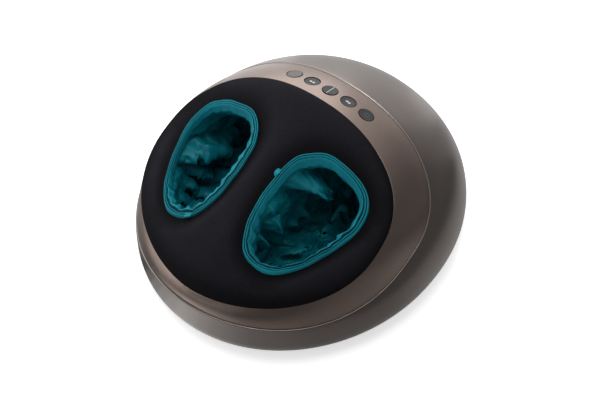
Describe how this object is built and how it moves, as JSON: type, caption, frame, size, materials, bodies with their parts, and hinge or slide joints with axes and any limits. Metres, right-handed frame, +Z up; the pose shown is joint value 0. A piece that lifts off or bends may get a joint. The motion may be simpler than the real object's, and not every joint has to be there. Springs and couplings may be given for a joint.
{
  "type": "foot massager",
  "caption": "Domed electric shiatsu foot massager with a padded sloping top, teal foot pockets, control keys and geared massage heads under the soles.",
  "frame": {"origin": "on the floor under the middle of the body's outline", "axes": "+Y from the heels to the toes, where the control keys are; +X to the user's right; +Z up"},
  "size_m": [0.3846, 0.4316, 0.2136],
  "materials": {
    "shell_bronze": "satin metallic coat, warm grey",
    "deck_bronze": "satin metallic coat, brown bronze",
    "tray_plastic": "fine moulded grain",
    "pad_fabric": "black close-knit cloth over foam",
    "trim_teal": "teal woven tape",
    "liner_teal": "soft teal satin cloth",
    "foot_rubber": "matt",
    "key_grey": "satin",
    "chassis_plastic": "plain moulded",
    "gear_acetal": "natural moulded",
    "head_plastic": "smooth",
    "axle_steel": "ground",
    "motor_can": "plated",
    "board_laminate": "green lacquer",
    "bladder_film": "soft film",
    "hose_silicone": "soft translucent"
  },
  "bodies": {
    "housing": {"outer_shell": "shell_bronze", "deck_shell": "deck_bronze", "base_tray": "tray_plastic", "foot_pad": "pad_fabric", "pad_frame": "chassis_plastic", "zip_trim_left": "trim_teal", "zip_trim_right": "trim_teal", "foot_liner_left": "liner_teal", "foot_liner_right": "liner_teal", "foot_front_left": "foot_rubber", "foot_front_right": "foot_rubber", "foot_rear_left": "foot_rubber", "foot_rear_right": "foot_rubber", "power_inlet": "tray_plastic", "gear_plate": "chassis_plastic", "sole_cover": "chassis_plastic", "axle_drive": "axle_steel", "axle_left_heel": "axle_steel", "axle_left_arch": "axle_steel", "axle_left_toe": "axle_steel", "axle_right_heel": "axle_steel", "axle_right_arch": "axle_steel", "axle_right_toe": "axle_steel", "gearmotor": "motor_can", "control_board": "board_laminate", "board_bracket": "chassis_plastic", "air_pump": "chassis_plastic", "air_valve": "chassis_plastic", "air_bladder_left": "bladder_film", "air_bladder_right": "bladder_film", "bladder_hose_left": "hose_silicone", "bladder_hose_right": "hose_silicone", "pump_hose": "hose_silicone"},
    "drive_wheel": {"drive_gear": "gear_acetal"},
    "pinion": {"motor_pinion": "gear_acetal"},
    "head_left_heel": {"head_gear_left_heel": "gear_acetal", "massage_head_left_heel": "head_plastic"},
    "head_left_arch": {"head_gear_left_arch": "gear_acetal", "massage_head_left_arch": "head_plastic"},
    "head_left_toe": {"head_gear_left_toe": "gear_acetal", "massage_head_left_toe": "head_plastic"},
    "head_right_heel": {"head_gear_right_heel": "gear_acetal", "massage_head_right_heel": "head_plastic"},
    "head_right_arch": {"head_gear_right_arch": "gear_acetal", "massage_head_right_arch": "head_plastic"},
    "head_right_toe": {"head_gear_right_toe": "gear_acetal", "massage_head_right_toe": "head_plastic"},
    "key_power": {"power_key": "key_grey"},
    "key_massage": {"massage_key": "key_grey"},
    "key_intensity": {"intensity_rocker": "key_grey"},
    "key_air": {"air_key": "key_grey"},
    "key_mode": {"mode_key": "key_grey"}
  },
  "joints": [
    {"name": "drive_gear_spin", "type": "hinge", "parent": "housing", "child": "drive_wheel", "pos_m": [0, -0.043, 0.0278], "axis": [0, 0, 1], "continuous": true},
    {"name": "pinion_spin", "type": "hinge", "parent": "housing", "child": "pinion", "pos_m": [0, 0.0074, 0.0278], "axis": [0, 0, 1], "continuous": true},
    {"name": "head_spin_left_heel", "type": "hinge", "parent": "housing", "child": "head_left_heel", "pos_m": [-0.0684, -0.115, 0.0278], "axis": [0, 0, 1], "continuous": true},
    {"name": "head_spin_left_arch", "type": "hinge", "parent": "housing", "child": "head_left_arch", "pos_m": [-0.0684, -0.043, 0.0278], "axis": [0, 0, 1], "continuous": true},
    {"name": "head_spin_left_toe", "type": "hinge", "parent": "housing", "child": "head_left_toe", "pos_m": [-0.0684, 0.029, 0.0278], "axis": [0, 0, 1], "continuous": true},
    {"name": "head_spin_right_heel", "type": "hinge", "parent": "housing", "child": "head_right_heel", "pos_m": [0.0684, -0.115, 0.0278], "axis": [0, 0, 1], "continuous": true},
    {"name": "head_spin_right_arch", "type": "hinge", "parent": "housing", "child": "head_right_arch", "pos_m": [0.0684, -0.043, 0.0278], "axis": [0, 0, 1], "continuous": true},
    {"name": "head_spin_right_toe", "type": "hinge", "parent": "housing", "child": "head_right_toe", "pos_m": [0.0684, 0.029, 0.0278], "axis": [0, 0, 1], "continuous": true},
    {"name": "power_key_press", "type": "slide", "parent": "housing", "child": "key_power", "axis": [0.2816, -0.2908, -0.9144], "range_m": [0, 0.0012], "stiffness_N_per_m": 1500},
    {"name": "massage_key_press", "type": "slide", "parent": "housing", "child": "key_massage", "axis": [0.1022, -0.2964, -0.9496], "range_m": [0, 0.0012], "stiffness_N_per_m": 1500},
    {"name": "intensity_rocker_tilt", "type": "hinge", "parent": "housing", "child": "key_intensity", "pos_m": [0, 0.05532, 0.19176], "axis": [0, 0.9546, -0.2979], "range_deg": [-3, 3], "stiffness_Nm_per_rad": 0.15},
    {"name": "air_key_press", "type": "slide", "parent": "housing", "child": "key_air", "axis": [-0.1022, -0.2964, -0.9496], "range_m": [0, 0.0012], "stiffness_N_per_m": 1500},
    {"name": "mode_key_press", "type": "slide", "parent": "housing", "child": "key_mode", "axis": [-0.2816, -0.2908, -0.9144], "range_m": [0, 0.0012], "stiffness_N_per_m": 1500}
  ],
  "couplings": [
    {"joint": "pinion_spin", "follows": "drive_gear_spin", "ratio": -1.8},
    {"joint": "head_spin_left_arch", "follows": "drive_gear_spin", "ratio": -0.9},
    {"joint": "head_spin_right_arch", "follows": "drive_gear_spin", "ratio": -0.9},
    {"joint": "head_spin_left_heel", "follows": "drive_gear_spin", "ratio": 0.9},
    {"joint": "head_spin_left_toe", "follows": "drive_gear_spin", "ratio": 0.9},
    {"joint": "head_spin_right_heel", "follows": "drive_gear_spin", "ratio": 0.9},
    {"joint": "head_spin_right_toe", "follows": "drive_gear_spin", "ratio": 0.9}
  ]
}
